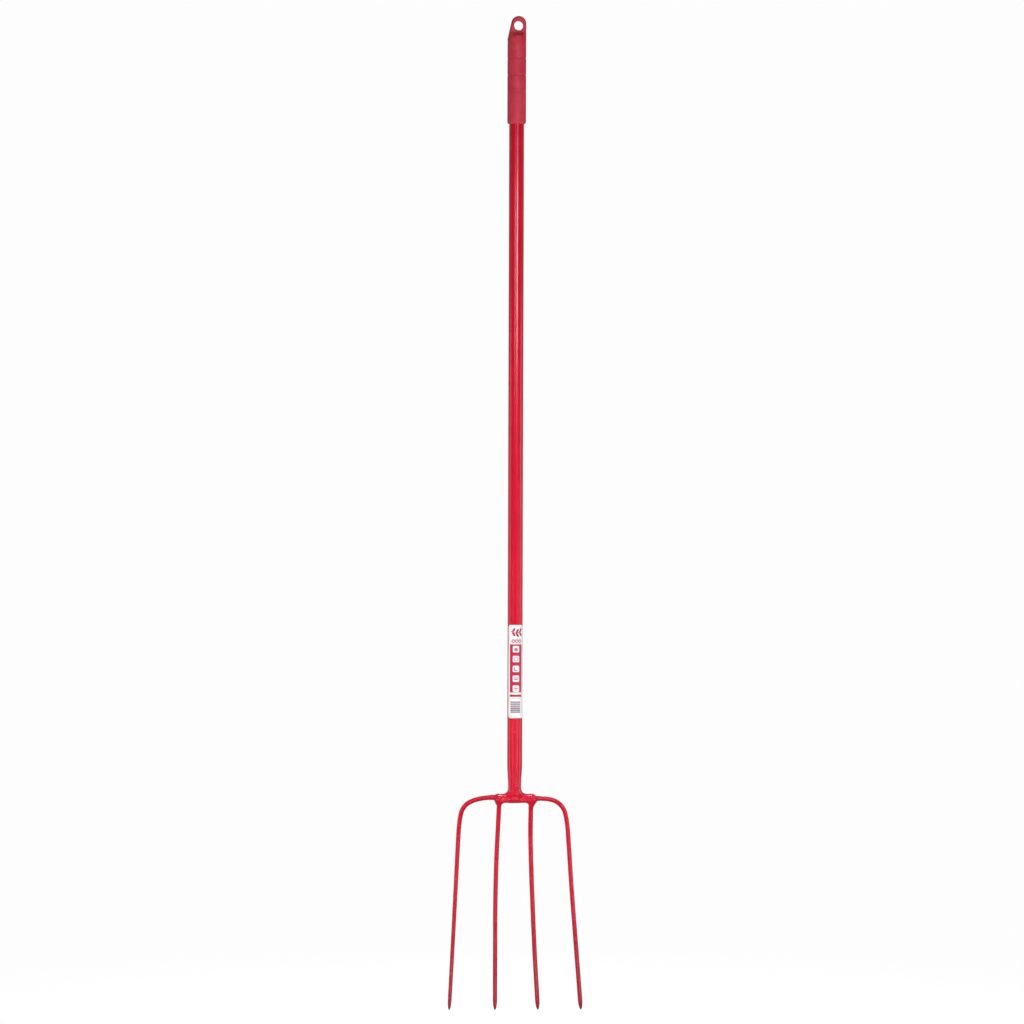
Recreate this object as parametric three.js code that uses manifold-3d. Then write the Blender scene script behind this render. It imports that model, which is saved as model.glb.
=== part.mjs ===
// A long-handled four-tine fork: a steel tube shaft with a moulded end grip, and a welded head.
// Units are millimetres, +Z is up, and the tines point down. The front, which the tine tips curve
// towards, faces -Y. The origin is the centre of the hanging eye at the top of the grip.
// Below, X is counted from the shaft's axis and heights are counted up from the tine tips. One group
// then moves the whole fork so that the eye's centre is at the origin.

import * as THREE from 'three';
import { mergeVertices } from 'three/addons/utils/BufferGeometryUtils.js';
import Module from 'manifold-3d';

const wasm = await Module();
wasm.setup();

// ---- Driving dimensions ----

const OVERALL_LENGTH = 1620;
const EYE_HEIGHT = 1604;
const CLEARANCE = 0.3; // between pieces that touch

const TUBE_RADIUS = 12;
const TUBE_WALL = 1.5;
const NECK_RADIUS = 10.4; // the swaged lower end of the tube
const NECK_TOP = 415; // where the swaging starts
const NECK_STRAIGHT = 358; // below this the neck is straight again
const ROUND_SIDES = 24;

const GRIP_RADIUS = 15;
const GRIP_BOTTOM = 1443.5;
const GRIP_LIP = 4; // height of the rounded lower lip
const GRIP_BORE_TOP = 1574;
const GRIP_GROOVE_TOP = 1577.8; // the highest of the ring grooves
const GRIP_GROOVE_PITCH = 27.3;
const GRIP_GROOVES = 4;
const GROOVE_HALF_WIDTH = 2.4;
const GROOVE_DEPTH = 0.7;

const EYE_OFFSET = 2.7; // the eye sits to the right of the shaft's axis
const EYE_RADIUS = 7.7;
const EYE_CHAMFER = 1.2;
const EYE_TAB_HALF = 6.5; // half the thickness of the flattened end
const EYE_TAB_BOTTOM = 1595;
const EYE_RAMP_BOTTOM = 1587;
const EYE_CROWN_RADIUS = 12.3; // the round top edge of the flattened end
const EYE_SLANT = THREE.MathUtils.degToRad(14); // the left edge leans in by this much

const LABEL_BOTTOM = 472.8;
const LABEL_TOP = 624.8;
const LABEL_WIDTH = 29; // measured round the tube
const LABEL_CORNER = 5;
const LABEL_THICKNESS = 0.3;
const LABEL_TURN = THREE.MathUtils.degToRad(3); // its middle sits this far round from the front

const BAR_LEFT = -31.8;
const BAR_RIGHT = 33.4;
const BAR_BOTTOM = 333.9;
const BAR_TOP = 348.6;
const BAR_DEPTH = 12;
const BAR_EDGE = 2.5; // rounding of the bar's long edges
const BOSS_RADIUS = 12.6; // the swelling under the neck

const TANG_TOP = 480;
const TANG_SEAT = 340; // bottom of the blind bore that the tang stands in
const TANG_SEAT_RADIUS = 6.8;

const RIVET_HEIGHT = 448;
const RIVET_RADIUS = 2.5;
const RIVET_HEAD_RADIUS = 3.5;
const RIVET_HEAD_HEIGHT = 0.9;

const NECK_WELD_RADIUS = 15;
const NECK_WELD_HEIGHT = 8;

const TINE_SIDES = 10;
const TINE_STEPS = 32;
const TIP_STEPS = 5;
const TIP_LENGTH = 18; // length over which each tine runs to its point
const TIP_BLUNT = 0.12; // what is left of the section at the very point
const ROOT_HEIGHT = BAR_BOTTOM;
const ROOT_GAP = 1.1; // the inner tines start tilted, so their ends stop this far under the bar
const ROOT_SLOPE = Math.tan(THREE.MathUtils.degToRad(-8)); // tines leave the bar leaning back
const DISH = 0.28; // how strongly they curve forward again

// ---- Materials ----

const paint = new THREE.MeshStandardMaterial({ color: 0xc8142e, roughness: 0.3, metalness: 0.1 });
const weldPaint = new THREE.MeshStandardMaterial({ color: 0xc0142c, roughness: 0.4, metalness: 0.1 });
const plastic = new THREE.MeshStandardMaterial({ color: 0xa32b3a, roughness: 0.55, metalness: 0 });
const bareSteel = new THREE.MeshStandardMaterial({ color: 0x8a8a8c, roughness: 0.4, metalness: 1 });
const film = new THREE.MeshStandardMaterial({ color: 0xf1efee, roughness: 0.35, metalness: 0 });

// ---- Helpers ----

// The geometry as a solid that can be joined or cut.
function solidFrom(geometry) {
  const bare = geometry.index ? geometry.toNonIndexed() : geometry.clone();
  bare.deleteAttribute('normal');
  bare.deleteAttribute('uv');
  const merged = mergeVertices(bare, 1e-4);
  const vertProperties = merged.getAttribute('position').array;
  const triVerts = new Uint32Array(merged.index.array);
  return new wasm.Manifold(new wasm.Mesh({ numProp: 3, vertProperties, triVerts }));
}

// A solid back as a geometry with flat normals.
function geometryFrom(solid) {
  const mesh = solid.getMesh();
  const geometry = new THREE.BufferGeometry();
  geometry.setAttribute('position', new THREE.BufferAttribute(mesh.vertProperties, 3));
  geometry.setIndex(new THREE.BufferAttribute(mesh.triVerts, 1));
  geometry.computeVertexNormals();
  return geometry;
}

// A closed profile of [radius, height] pairs turned round the Z axis.
function turned(profile, sides = ROUND_SIDES) {
  const points = profile.map(([radius, height]) => new THREE.Vector2(radius, height));
  const geometry = new THREE.LatheGeometry(points, sides);
  return geometry.rotateX(Math.PI / 2);
}

// A ring whose profile closes on itself.
function turnedRing(profile, sides = ROUND_SIDES) {
  return turned([...profile, profile[0]], sides);
}

// A cylinder along Y through (x, z).
function pinAlongY(radius, length, x, z, sides = ROUND_SIDES) {
  return new THREE.CylinderGeometry(radius, radius, length, sides).translate(x, 0, z);
}

// A front-view outline in X and Z, made `depth` thick and centred on Y = 0.
function plate(shape, depth, bevel = 0) {
  const geometry = new THREE.ExtrudeGeometry(shape, {
    depth: depth - 2 * bevel,
    bevelEnabled: bevel > 0,
    bevelThickness: bevel,
    bevelSize: bevel,
    bevelOffset: -bevel,
    bevelSegments: 2,
    curveSegments: 8,
  });
  return geometry.translate(0, 0, bevel - depth / 2).rotateX(Math.PI / 2);
}

const fork = new THREE.Group();
const pieces = new THREE.Group();
pieces.position.set(-EYE_OFFSET, 0, -EYE_HEIGHT);
fork.add(pieces);

function addPiece(name, geometry, material, parent = pieces) {
  const mesh = new THREE.Mesh(geometry, material);
  mesh.name = name;
  parent.add(mesh);
  return mesh;
}

// ---- Shaft tube ----

const TUBE_BOTTOM = BAR_TOP + CLEARANCE;
const TUBE_TOP = GRIP_BORE_TOP - CLEARANCE;

// Outer radius of the tube where the swaging blends it down to the neck: half a cosine wave.
function tubeRadiusAt(height) {
  const t = THREE.MathUtils.clamp((height - NECK_STRAIGHT) / (NECK_TOP - NECK_STRAIGHT), 0, 1);
  const ease = (1 - Math.cos(Math.PI * t)) / 2;
  return NECK_RADIUS + (TUBE_RADIUS - NECK_RADIUS) * ease;
}

// [radius, height] pairs up the swaged end, `inset` under the outer surface.
function swagedProfile(inset, lowest, highest) {
  const steps = 8;
  const profile = [[tubeRadiusAt(lowest) - inset, lowest]];
  for (let i = 0; i <= steps; i += 1) {
    const height = NECK_STRAIGHT + ((NECK_TOP - NECK_STRAIGHT) * i) / steps;
    profile.push([tubeRadiusAt(height) - inset, height]);
  }
  profile.push([tubeRadiusAt(highest) - inset, highest]);
  return profile;
}

function shaftTube() {
  const outer = swagedProfile(0, TUBE_BOTTOM, TUBE_TOP);
  const inner = swagedProfile(TUBE_WALL, TUBE_BOTTOM, TUBE_TOP).reverse();
  const rivetHole = pinAlongY(RIVET_RADIUS + CLEARANCE, 3 * TUBE_RADIUS, 0, RIVET_HEIGHT, 16);
  return geometryFrom(solidFrom(turnedRing([...outer, ...inner])).subtract(solidFrom(rivetHole)));
}

addPiece('shaft_tube', shaftTube(), paint);

// ---- Tang inside the neck, and its rivet ----

function tang() {
  const chamfer = 2;
  const shoulder = BAR_TOP + 2 * CLEARANCE;
  const inset = TUBE_WALL + CLEARANCE;
  const side = swagedProfile(inset, shoulder, TANG_TOP - chamfer);
  const topRadius = TUBE_RADIUS - inset - chamfer;
  const seat = TANG_SEAT + CLEARANCE;
  const profile = [[0, seat], [TANG_SEAT_RADIUS, seat], [TANG_SEAT_RADIUS, shoulder], ...side];
  profile.push([topRadius, TANG_TOP], [0, TANG_TOP]);
  const rivetHole = pinAlongY(RIVET_RADIUS + CLEARANCE, 3 * TUBE_RADIUS, 0, RIVET_HEIGHT, 16);
  return geometryFrom(solidFrom(turned(profile)).subtract(solidFrom(rivetHole)));
}

addPiece('tang', tang(), bareSteel);

function rivet() {
  const seat = TUBE_RADIUS + CLEARANCE;
  const top = seat + RIVET_HEAD_HEIGHT;
  const half = [[RIVET_RADIUS, seat], [RIVET_HEAD_RADIUS, seat], [RIVET_HEAD_RADIUS * 0.7, top], [0, top]];
  const mirrored = half.map(([radius, height]) => [radius, -height]).reverse();
  return turned([...mirrored, ...half], 16).rotateX(Math.PI / 2).translate(0, 0, RIVET_HEIGHT);
}

addPiece('tang_rivet', rivet(), weldPaint);

// ---- Grip with its hanging eye ----

// The groove's walls are a cosine dip in the sleeve's outer surface.
function groove(height) {
  const steps = 4;
  const profile = [];
  for (let i = 0; i <= steps; i += 1) {
    const t = (2 * i) / steps - 1;
    const dip = (GROOVE_DEPTH * (1 + Math.cos(Math.PI * t))) / 2;
    profile.push([GRIP_RADIUS - dip, height + t * GROOVE_HALF_WIDTH]);
  }
  return profile;
}

function gripSleeve() {
  const bore = TUBE_RADIUS + CLEARANCE;
  const profile = [[0, GRIP_BORE_TOP], [bore, GRIP_BORE_TOP], [bore, GRIP_BOTTOM]];
  const lipStart = bore + 0.8;
  for (let i = 0; i <= 4; i += 1) {
    const angle = (i / 4) * (Math.PI / 2);
    const radius = lipStart + (GRIP_RADIUS - lipStart) * Math.sin(angle);
    profile.push([radius, GRIP_BOTTOM + GRIP_LIP * (1 - Math.cos(angle))]);
  }
  for (let i = GRIP_GROOVES - 1; i >= 0; i -= 1) {
    profile.push(...groove(GRIP_GROOVE_TOP - i * GRIP_GROOVE_PITCH));
  }
  profile.push([GRIP_RADIUS, OVERALL_LENGTH], [0, OVERALL_LENGTH]);
  return solidFrom(turned(profile, 28));
}

// Front view of the grip: straight sides, a round crown over the eye, and a slanting left shoulder.
function gripOutline() {
  const crownX = GRIP_RADIUS - EYE_CROWN_RADIUS;
  const crownZ = OVERALL_LENGTH - EYE_CROWN_RADIUS;
  const left = -GRIP_RADIUS - 1;
  const right = GRIP_RADIUS + 0.01;
  const startX = crownX - EYE_CROWN_RADIUS * Math.cos(EYE_SLANT);
  const startZ = crownZ + EYE_CROWN_RADIUS * Math.sin(EYE_SLANT);
  const shoulderZ = startZ - (startX - left) / Math.tan(EYE_SLANT);
  const outline = new THREE.Shape();
  outline.moveTo(left, GRIP_BOTTOM - 1);
  outline.lineTo(right, GRIP_BOTTOM - 1);
  outline.lineTo(right, crownZ);
  outline.absarc(crownX, crownZ, EYE_CROWN_RADIUS, 0, Math.PI - EYE_SLANT, false);
  outline.lineTo(left, shoulderZ);
  return outline;
}

// What is cut from the front and the back to leave the flat tab, seen from the side (Y and Z).
function tabCutter(side) {
  const outside = GRIP_RADIUS + 2;
  const shape = new THREE.Shape();
  shape.moveTo(side * outside, EYE_RAMP_BOTTOM - 2);
  shape.lineTo(side * GRIP_RADIUS, EYE_RAMP_BOTTOM);
  shape.lineTo(side * EYE_TAB_HALF, EYE_TAB_BOTTOM);
  shape.lineTo(side * EYE_TAB_HALF, OVERALL_LENGTH + 5);
  shape.lineTo(side * outside, OVERALL_LENGTH + 5);
  const geometry = new THREE.ExtrudeGeometry(shape, { depth: 4 * GRIP_RADIUS, bevelEnabled: false });
  geometry.translate(0, 0, -2 * GRIP_RADIUS);
  const turn = new THREE.Matrix4().set(0, 0, 1, 0, 1, 0, 0, 0, 0, 1, 0, 0, 0, 0, 0, 1);
  return solidFrom(geometry.applyMatrix4(turn));
}

function eyeCutter() {
  const half = EYE_TAB_HALF;
  const wide = EYE_RADIUS + EYE_CHAMFER;
  const profile = [[0, -half - 1], [wide + 1, -half - 1], [wide, -half], [EYE_RADIUS, EYE_CHAMFER - half]];
  profile.push([EYE_RADIUS, half - EYE_CHAMFER], [wide, half], [wide + 1, half + 1], [0, half + 1]);
  const geometry = turned(profile, 24).rotateX(Math.PI / 2).translate(EYE_OFFSET, 0, EYE_HEIGHT);
  return solidFrom(geometry);
}

function grip() {
  const front = solidFrom(plate(gripOutline(), 4 * GRIP_RADIUS));
  let body = gripSleeve().intersect(front);
  body = body.subtract(tabCutter(1)).subtract(tabCutter(-1));
  return geometryFrom(body.subtract(eyeCutter()));
}

addPiece('grip', grip(), plastic);

// ---- Label ----

// A flat strip with rounded corners, bent round the tube.
function label() {
  const height = LABEL_TOP - LABEL_BOTTOM;
  const middleRadius = TUBE_RADIUS + CLEARANCE + LABEL_THICKNESS / 2;
  const strip = new THREE.BoxGeometry(LABEL_WIDTH, height, LABEL_THICKNESS, 24, 1, 1);
  const position = strip.getAttribute('position');
  for (let i = 0; i < position.count; i += 1) {
    const intoCorner = Math.max(0, LABEL_CORNER - LABEL_WIDTH / 2 + Math.abs(position.getX(i)));
    const drop = LABEL_CORNER - Math.sqrt(LABEL_CORNER ** 2 - intoCorner ** 2);
    const angle = LABEL_TURN + position.getX(i) / middleRadius;
    const radius = middleRadius + position.getZ(i);
    const up = Math.sign(position.getY(i)) * (height / 2 - drop);
    position.setXYZ(i, radius * Math.sin(angle), -radius * Math.cos(angle), LABEL_BOTTOM + height / 2 + up);
  }
  return strip;
}

addPiece('label', label(), film);

// ---- Crossbar ----

// Front outline of the bar: flat underneath, slightly crowned ends.
function barOutline() {
  const corner = 5;
  const outline = new THREE.Shape();
  outline.moveTo(BAR_LEFT + corner, BAR_BOTTOM);
  outline.lineTo(BAR_RIGHT - corner, BAR_BOTTOM);
  outline.quadraticCurveTo(BAR_RIGHT, BAR_BOTTOM, BAR_RIGHT, BAR_BOTTOM + corner);
  outline.lineTo(BAR_RIGHT, BAR_TOP - corner);
  outline.quadraticCurveTo(BAR_RIGHT, BAR_TOP, BAR_RIGHT - 2 * corner, BAR_TOP);
  outline.lineTo(BAR_LEFT + 2 * corner, BAR_TOP);
  outline.quadraticCurveTo(BAR_LEFT, BAR_TOP, BAR_LEFT, BAR_TOP - corner);
  outline.lineTo(BAR_LEFT, BAR_BOTTOM + corner);
  outline.quadraticCurveTo(BAR_LEFT, BAR_BOTTOM, BAR_LEFT + corner, BAR_BOTTOM);
  return outline;
}

function crossbar() {
  const bar = solidFrom(plate(barOutline(), BAR_DEPTH, BAR_EDGE));
  const bossProfile = [[0, BAR_BOTTOM], [BOSS_RADIUS - 4, BAR_BOTTOM], [BOSS_RADIUS, BAR_BOTTOM + 5]];
  bossProfile.push([BOSS_RADIUS, BAR_TOP], [0, BAR_TOP]);
  const boss = solidFrom(turned(bossProfile));
  const boreRadius = TANG_SEAT_RADIUS + CLEARANCE;
  const bore = solidFrom(turned([[0, TANG_SEAT], [boreRadius, TANG_SEAT], [boreRadius, 400], [0, 400]]));
  return geometryFrom(bar.add(boss).subtract(bore));
}

addPiece('crossbar', crossbar(), paint);

// ---- Neck weld: a hollow-cheeked fillet that flares from the neck on to the crossbar ----

function neckWeld() {
  const inner = NECK_RADIUS + CLEARANCE;
  const bottom = BAR_TOP + CLEARANCE;
  const profile = [[inner, bottom], [NECK_WELD_RADIUS, bottom]];
  const steps = 5;
  for (let i = 0; i <= steps; i += 1) {
    const angle = (i / steps) * (Math.PI / 2);
    const reach = NECK_WELD_RADIUS - inner - 0.5;
    const radius = NECK_WELD_RADIUS - reach * Math.sin(angle);
    profile.push([radius, bottom + 1 + (NECK_WELD_HEIGHT - 1) * (1 - Math.cos(angle))]);
  }
  profile.push([inner, bottom + NECK_WELD_HEIGHT]);
  return turnedRing(profile);
}

addPiece('neck_weld', neckWeld(), weldPaint);

// ---- Tines ----

// How far forward (-Y) a tine has come at a height: back a little under the bar, then forward.
function dishAt(height) {
  const down = Math.max(0, ROOT_HEIGHT - height);
  return ROOT_SLOPE * down + (DISH * down * down) / ROOT_HEIGHT;
}

// A curve through [x, height] pairs, dished.
function tineCurve(route) {
  const points = route.map(([x, height]) => new THREE.Vector3(x, -dishAt(height), height));
  return new THREE.CatmullRomCurve3(points, false, 'centripetal');
}

// A tapered rod along a route. The section is an ellipse, `width` across the front view and `depth`
// the other way, both running linearly from root to blade, and it closes to a point like an arch.
function tine({ route, width, depth }) {
  const curve = tineCurve(route);
  curve.arcLengthDivisions = 400;
  const length = curve.getLength();
  const bodyShare = 1 - TIP_LENGTH / length;
  const rows = TINE_STEPS + TIP_STEPS;
  const rod = new THREE.CylinderGeometry(1, 1, 1, TINE_SIDES, rows);
  const position = rod.getAttribute('position');
  for (let i = 0; i < position.count; i += 1) {
    const row = Math.round((0.5 - position.getY(i)) * rows);
    const tipRow = Math.max(0, row - TINE_STEPS) / TIP_STEPS;
    const tipShare = Math.sin((tipRow * Math.PI) / 2);
    const share = (bodyShare * Math.min(row, TINE_STEPS)) / TINE_STEPS + (1 - bodyShare) * tipShare;
    const point = curve.getPointAt(share);
    const along = curve.getTangentAt(share);
    const across = new THREE.Vector3(-along.z, 0, along.x).normalize();
    const through = new THREE.Vector3().crossVectors(along, across);
    const closing = Math.max(TIP_BLUNT, Math.sqrt(1 - tipShare * tipShare));
    const halfWidth = (closing * THREE.MathUtils.lerp(width[0], width[1], share)) / 2;
    const halfDepth = (closing * THREE.MathUtils.lerp(depth[0], depth[1], share)) / 2;
    point.addScaledVector(across, position.getX(i) * halfWidth);
    point.addScaledVector(through, position.getZ(i) * halfDepth);
    position.setXYZ(i, point.x, point.y, point.z);
  }
  return rod;
}

const OUTER_LEFT = {
  route: [[BAR_LEFT - CLEARANCE, 343.2], [-43, 342.7], [-56, 341], [-69, 337.4], [-79, 331.5],
    [-85.6, 322.5], [-88.7, 311], [-90.6, 295], [-92, 270], [-95.6, 200], [-101.8, 100], [-108.6, 0]],
  width: [7.4, 5.4],
  depth: [8.4, 6.2],
};
const OUTER_RIGHT = {
  route: [[BAR_RIGHT + CLEARANCE, 341.2], [45, 341], [57, 339.8], [68, 336.2], [76, 330],
    [81.8, 321.5], [85, 310], [87.4, 295], [89.8, 265], [94, 200], [99.8, 110], [105.8, 0]],
  width: [7.2, 7],
  depth: [8.4, 6.2],
};
const INNER_LEFT = {
  route: [[-25.2, BAR_BOTTOM - ROOT_GAP], [-26.9, 290], [-29, 240], [-31, 170], [-32.4, 90], [-34.6, 0]],
  width: [6.8, 6.4],
  depth: [8.4, 6.2],
};
const INNER_RIGHT = {
  route: [[27, BAR_BOTTOM - ROOT_GAP], [26.7, 290], [27.8, 240], [30, 170], [32.6, 90], [36, 0]],
  width: [6.8, 6.4],
  depth: [8.4, 6.2],
};

addPiece('tine_outer_left', tine(OUTER_LEFT), paint);
addPiece('tine_outer_right', tine(OUTER_RIGHT), paint);
addPiece('tine_inner_left', tine(INNER_LEFT), paint);
addPiece('tine_inner_right', tine(INNER_RIGHT), paint);

// ---- Weld beads round the tines' roots ----

// A bead round the root of a rod. It rests on a face at its own Z = 0 and reaches along +Z, is then
// turned by `tilt` about Y and moved to (x, height), and is bored out by a slightly fatter rod.
function rootBead(rod, reach, x, height, tilt) {
  const profile = [[0, 0], [1.8, 0], [1.78, 0.2 * reach], [1.55, 0.5 * reach], [1.4, reach], [0, reach]];
  const bead = turned(profile, 20).scale(rod.width[0] / 2, rod.depth[0] / 2, 1);
  bead.rotateY(tilt).translate(x, 0, height);
  const fatter = (size) => size + 2 * CLEARANCE;
  const bore = tine({ route: rod.route, width: rod.width.map(fatter), depth: rod.depth.map(fatter) });
  const start = solidFrom(new THREE.SphereGeometry(1.1, 12, 6).scale(rod.width[0] / 2, rod.depth[0] / 2, 3));
  const mouth = start.translate([x, 0, height]);
  return geometryFrom(solidFrom(bead).subtract(solidFrom(bore)).subtract(mouth));
}

const SHOULDER_REACH = 5;
const ROOT_REACH = 6;
const shoulders = [
  ['shoulder_weld_left', OUTER_LEFT, -Math.PI / 2],
  ['shoulder_weld_right', OUTER_RIGHT, Math.PI / 2],
];
for (const [name, rod, tilt] of shoulders) {
  const [x, height] = rod.route[0];
  addPiece(name, rootBead(rod, SHOULDER_REACH, x, height, tilt), weldPaint);
}
for (const [name, rod] of [['root_weld_left', INNER_LEFT], ['root_weld_right', INNER_RIGHT]]) {
  const x = rod.route[0][0];
  addPiece(name, rootBead(rod, ROOT_REACH, x, BAR_BOTTOM - CLEARANCE, Math.PI), weldPaint);
}

export default fork;
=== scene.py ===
"""Looks for a long-handled muck fork: red tube shaft, moulded end grip with a hanging eye, and a
welded four-tine head.

Shapes are worked out in millimetres, with X counted from the shaft's axis, Y from front (negative)
to back and heights counted up from the tine tips. placed() turns them into metres in the frame of
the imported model.
"""

from math import cos, pi, radians, sin, tan

import bmesh
import bpy
import numpy as np
from mathutils import Matrix, Vector


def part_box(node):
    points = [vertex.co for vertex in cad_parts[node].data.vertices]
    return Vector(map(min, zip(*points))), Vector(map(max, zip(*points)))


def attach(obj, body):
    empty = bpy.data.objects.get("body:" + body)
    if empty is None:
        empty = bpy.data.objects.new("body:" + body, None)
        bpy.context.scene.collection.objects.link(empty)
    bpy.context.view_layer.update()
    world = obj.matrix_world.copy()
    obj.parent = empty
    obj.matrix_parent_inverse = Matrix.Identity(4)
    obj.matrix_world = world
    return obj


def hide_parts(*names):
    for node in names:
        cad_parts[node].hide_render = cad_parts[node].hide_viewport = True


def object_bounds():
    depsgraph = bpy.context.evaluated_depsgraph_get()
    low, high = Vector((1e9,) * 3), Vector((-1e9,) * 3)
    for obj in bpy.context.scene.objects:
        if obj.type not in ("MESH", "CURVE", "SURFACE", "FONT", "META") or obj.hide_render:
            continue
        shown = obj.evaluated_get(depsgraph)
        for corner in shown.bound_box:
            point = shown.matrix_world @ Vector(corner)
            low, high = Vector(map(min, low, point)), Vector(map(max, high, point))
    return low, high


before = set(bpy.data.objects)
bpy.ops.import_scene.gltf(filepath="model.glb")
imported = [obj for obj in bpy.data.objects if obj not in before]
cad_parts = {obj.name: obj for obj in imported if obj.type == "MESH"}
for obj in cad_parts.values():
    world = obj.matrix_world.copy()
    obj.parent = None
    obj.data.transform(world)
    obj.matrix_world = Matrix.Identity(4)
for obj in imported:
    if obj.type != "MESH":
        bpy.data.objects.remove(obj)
cad_low, cad_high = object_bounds()

# ---- The frame's own measures ----

tube_low, tube_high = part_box("shaft_tube")
AXIS_X = (tube_low.x + tube_high.x) / 2
TIP_Z = cad_low.z


def height_of(z):
    """Height over the tine tips, in millimetres, of a place in the frame."""
    return (z - TIP_Z) * 1000


def extent(node):
    """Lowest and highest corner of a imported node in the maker's millimetres."""
    low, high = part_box(node)
    return [np.array([(p.x - AXIS_X) * 1000, p.y * 1000, height_of(p.z)]) for p in (low, high)]


def placed(points):
    """The maker's millimetres as metres in the frame."""
    return np.asarray(points, float) * 0.001 + np.array([AXIS_X, 0.0, TIP_Z])


TUBE_RADIUS = 12.25
TUBE_WALL = 1.7
NECK_RADIUS = 10.6
NECK_TOP = 400.0
NECK_STRAIGHT = 358.0
TUBE_SIDES = 96
EDGE_BREAK = 0.4  # how far the tube's cut edges are broken
PIN_RADIUS = 2.5

bar_low, bar_high = extent("crossbar")
BAR_LEFT, BAR_RIGHT = bar_low[0], bar_high[0]
BAR_BOTTOM, BAR_TOP = bar_low[2], bar_high[2]
BAR_DEPTH = 12.0
BAR_ROUNDING = 3.6
YOKE_LEFT, YOKE_RIGHT = -39.5, 42.5  # where the head's skin ends on the outer tines, under their beads
FLAT_LEAN = np.array([0.038, -0.958, 0.285])  # the way that the hammered flats face
FILLET_RISE = 11.5

grip_low, grip_high = extent("grip")
GRIP_RADIUS = grip_high[1] + 0.3
GRIP_BOTTOM, GRIP_TOP = grip_low[2], grip_high[2]
GRIP_LIP = 4.0
GRIP_BORE = 12.35
GRIP_BORE_TOP = 1574.0
GRIP_SIDES = 128
SEAM = 1581.0  # where the sleeve gives way to the eye end
GROOVE_TOP = 1577.8
GROOVE_PITCH = 27.3
GROOVE_HALF_WIDTH = 2.0
GROOVE_DEPTHS = np.array([0.25, 0.55, 0.55, 0.25])

EYE_X = -AXIS_X * 1000
EYE_HEIGHT = height_of(0)
EYE_RADIUS = 7.7
EYE_RIM = 1.9  # rounding of the hole's rim
TAB_HALF = 6.5
TAB_EDGE = 3.0  # rounding of the flattened end's outer edge
RAMP_BOTTOM = 1585.5
RAMP_TOP = 1594.0
CROWN_RADIUS = 12.3
EYE_SLANT = radians(12.6)

label_low, label_high = extent("label")
LABEL_BOTTOM, LABEL_TOP = label_low[2], label_high[2]
LABEL_WIDTH = 29.0
LABEL_CORNER = 5.0
LABEL_TURN = radians(3)
LABEL_FILM = 0.14
LABEL_GAP = 0.02
PAPER = "#F4EEF0"
PALE_PAPER = "#F6ECF0"
SPRIG_RED = "#A01C40"
PANEL_RED = "#BC2547"
BAND_RED = "#B02A4A"
MARK_RED = "#B23352"
CHAIN_ROSE = "#AB6A80"
MARK_ROSE = "#A8798A"
PALE_GREY = "#C9BFC4"
FIELD_GREY = "#C9BFC5"
STRIPE_GREY = "#6E656B"

ROOT_SLOPE = tan(radians(-8))
DISH = 0.28
TIP_LENGTH = 18.0
TIP_BLUNT = 0.10  # share of the rod's width left at the very point
# painted shade: the colour the tines darken to towards their tips, standing in for light falling off
TIP_SHADE_RED = "#90041E"
TIP_STEEL = "#5C3A40"
TINE_SIDES = 36
CLEARANCE = 0.3  # between the bar's ends and the outer tines' roots

# Each route runs down a tine as (X, height), from its root to its tip; a width, like the depth
# below, is given at the root and at the tip.
TINES = {
    "tine_outer_left": dict(
        route=[(BAR_LEFT - CLEARANCE, 343.2), (-43, 342.7), (-56, 341), (-69, 337.4), (-79, 331.5),
               (-85.6, 322.5), (-88.7, 311), (-90.6, 295), (-92, 270), (-95.6, 200), (-101.8, 100),
               (-109.7, 0)],
        width=(7.9, 6.1)),
    "tine_outer_right": dict(
        route=[(BAR_RIGHT + CLEARANCE, 341.2), (45, 341), (57, 339.8), (68, 336.2), (76, 330),
               (81.8, 321.5), (85, 310), (87.4, 295), (89.8, 265), (94, 200), (99.8, 110),
               (105.3, 0)],
        width=(7.5, 7.4)),
    "tine_inner_left": dict(
        route=[(-25.2, BAR_BOTTOM - 1.1), (-26.9, 290), (-29, 240), (-31, 170), (-32.4, 90),
               (-35.1, 0)],
        width=(7.6, 7.1)),
    "tine_inner_right": dict(
        route=[(27, BAR_BOTTOM - 1.1), (26.7, 290), (27.8, 240), (30, 170), (32.3, 90), (35, 0)],
        width=(7.8, 7.3)),
}
TINE_DEPTH = (8.4, 6.2)

BEADS = [
    # name, tine, node, place along the tine, reach along it and swell
    ("left_root_bead", "tine_inner_left", "root_weld_left", -1.5, 7.5, 0.42),
    ("right_root_bead", "tine_inner_right", "root_weld_right", 3.0, 8.0, 0.42),
    ("left_arm_bead", "tine_outer_left", "shoulder_weld_left", 0.5, 8.0, 0.55),
    ("right_arm_bead", "tine_outer_right", "shoulder_weld_right", 1.5, 8.0, 0.55),
]


# ---- Curves and fields ----

def ease(value, low, high):
    """0 below `low`, 1 above `high`, and half a cosine wave between."""
    t = np.clip((np.asarray(value, float) - low) / (high - low), 0, 1)
    return (1 - np.cos(pi * t)) / 2


def waviness(a, b, seed, octaves=3):
    """Smooth bumps between about -1 and 1 from sums of crossed sine waves, each finer and weaker."""
    random = np.random.default_rng(seed)
    total = np.zeros(np.broadcast(a, b).shape)
    for octave in range(octaves):
        pitch = 1.9 ** octave
        for _ in range(3):
            turn, start = random.uniform(0, 2 * pi, 2)
            total += np.sin(pitch * (a * cos(turn) + b * sin(turn)) + start) / (3 * 1.6 ** octave)
    return total


def soft_min(a, b, reach):
    """The smaller of two distances, with the corner between them rounded off over `reach`."""
    share = np.clip(0.5 + 0.5 * (b - a) / reach, 0, 1)
    return b + (a - b) * share - reach * share * (1 - share)


def rounded_box(offsets, halves, rounding):
    """Distance outside a box: how far the offsets pass the halves, less the rounding radius."""
    past = np.abs(offsets) - (np.asarray(halves) - rounding)
    outside = np.linalg.norm(np.maximum(past, 0), axis=-1)
    return outside + np.minimum(past.max(axis=-1), 0) - rounding


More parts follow.
